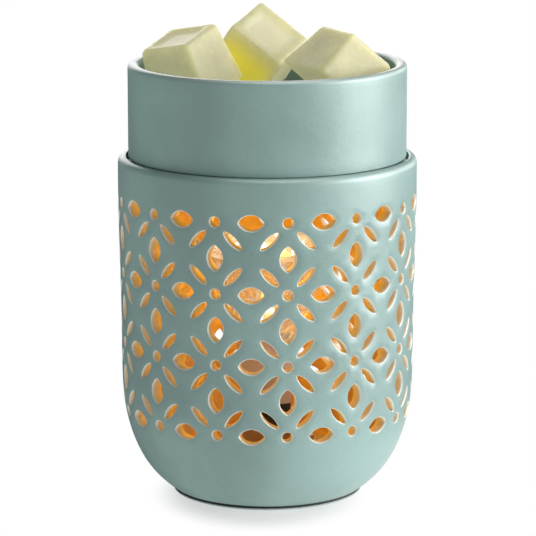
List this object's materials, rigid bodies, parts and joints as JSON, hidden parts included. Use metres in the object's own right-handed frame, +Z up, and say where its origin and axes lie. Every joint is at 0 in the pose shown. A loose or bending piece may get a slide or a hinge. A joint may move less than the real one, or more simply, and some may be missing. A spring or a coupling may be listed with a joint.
{
  "type": "wax warmer",
  "caption": "Home fragrance wax warmer: pierced round ceramic lamp shade, lift-off melt dish with three wax melts, and a twist-lock reflector bulb inside.",
  "frame": {"origin": "centre of the foot on the ground", "axes": "+Z up, -Y to the front"},
  "size_m": [0.108, 0.108, 0.1719],
  "materials": {
    "ceramic": "matt blue-green glaze",
    "wax": "translucent soft wax",
    "rubber": "matt black rubber",
    "black_plastic": "black moulded",
    "white_plastic": "white moulded",
    "steel": "plated steel",
    "brass": "plain brass",
    "white_ceramic": "unglazed white",
    "glass": "clear",
    "facet_glass": "faceted, coated",
    "filament": "glowing wire"
  },
  "bodies": {
    "base": {"shade": "ceramic", "foot_pad": "rubber", "base_plate": "black_plastic", "base_screws": "steel", "clamp_gasket": "rubber", "clamp_ring": "steel", "clamp_nuts": "steel", "lamp_bracket": "steel", "bracket_rivets": "steel", "lamp_holder": "black_plastic", "holder_cap": "black_plastic", "holder_screws": "steel", "holder_nuts": "steel", "contact_clips": "brass", "lead_wires": "white_plastic", "terminal_block": "white_plastic", "terminal_screws": "brass", "cord_grommet": "rubber"},
    "dish": {"dish": "ceramic"},
    "wax_left": {"wax_melt_left": "wax"},
    "wax_middle": {"wax_melt_middle": "wax"},
    "wax_right": {"wax_melt_right": "wax"},
    "bulb": {"bulb_base": "white_ceramic", "bulb_pins": "brass", "bulb_reflector": "facet_glass", "bulb_front_glass": "glass", "bulb_capsule": "glass", "bulb_filament": "filament"}
  },
  "joints": [
    {"name": "dish_lift", "type": "slide", "parent": "base", "child": "dish", "axis": [0, 0, 1], "range_m": [0, 0.09]},
    {"name": "wax_left_lift", "type": "slide", "parent": "dish", "child": "wax_left", "axis": [0, 0, 1], "range_m": [0, 0.045]},
    {"name": "wax_middle_lift", "type": "slide", "parent": "dish", "child": "wax_middle", "axis": [0, 0, 1], "range_m": [0, 0.045]},
    {"name": "wax_right_lift", "type": "slide", "parent": "dish", "child": "wax_right", "axis": [0, 0, 1], "range_m": [0, 0.045]},
    {"name": "bulb_twist", "type": "hinge", "parent": "base", "child": "bulb", "pos_m": [0, 0, 0.043], "axis": [0, 0, 1], "range_deg": [0, 20]}
  ]
}
